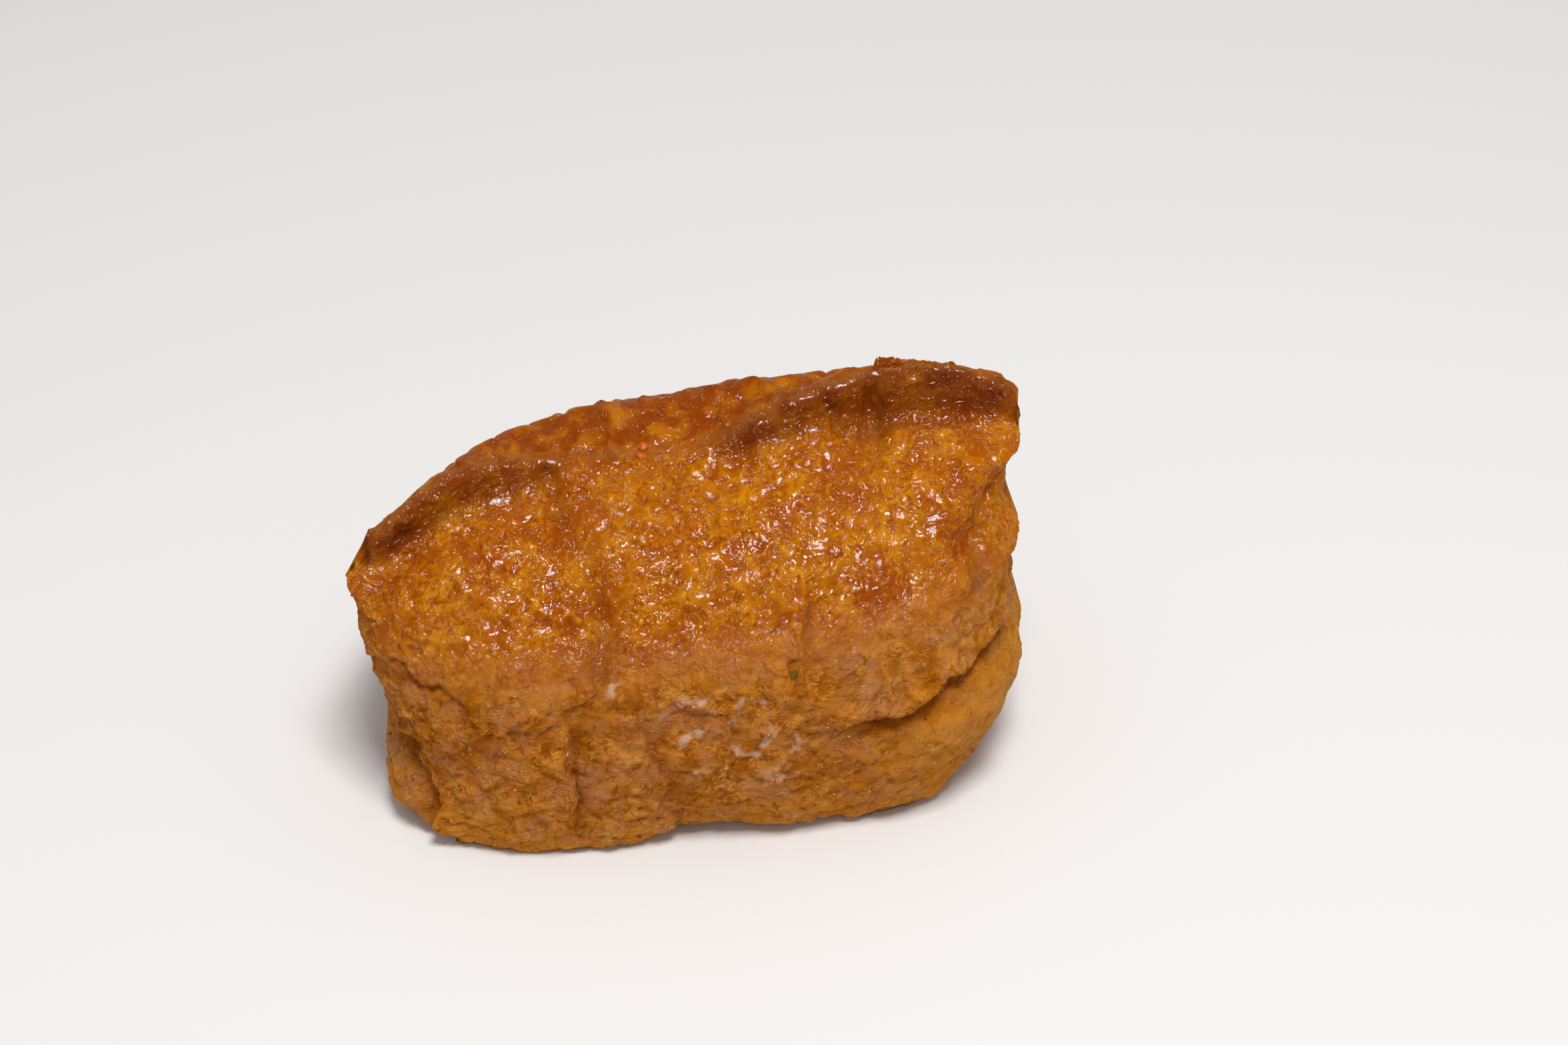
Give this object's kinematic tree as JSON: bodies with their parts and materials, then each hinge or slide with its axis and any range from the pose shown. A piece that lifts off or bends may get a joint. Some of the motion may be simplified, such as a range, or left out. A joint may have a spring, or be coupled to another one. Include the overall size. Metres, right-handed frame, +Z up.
{
  "type": "inari sushi",
  "caption": "Whole inari sushi: a wrinkled, soy-glazed pouch of fried tofu skin packed with rice, with a pinched seam ridge along its top.",
  "frame": {"origin": "middle of the footprint's box, on the table that the pouch rests on", "axes": "+X along the pouch towards its taller ear, +Y to its back, +Z up"},
  "size_m": [0.0662, 0.0386, 0.0386],
  "materials": {
    "tofu_skin": "wet glossy soy glaze over wrinkled fried tofu skin"
  },
  "bodies": {
    "root": {"pouch": "tofu_skin"}
  },
  "joints": []
}
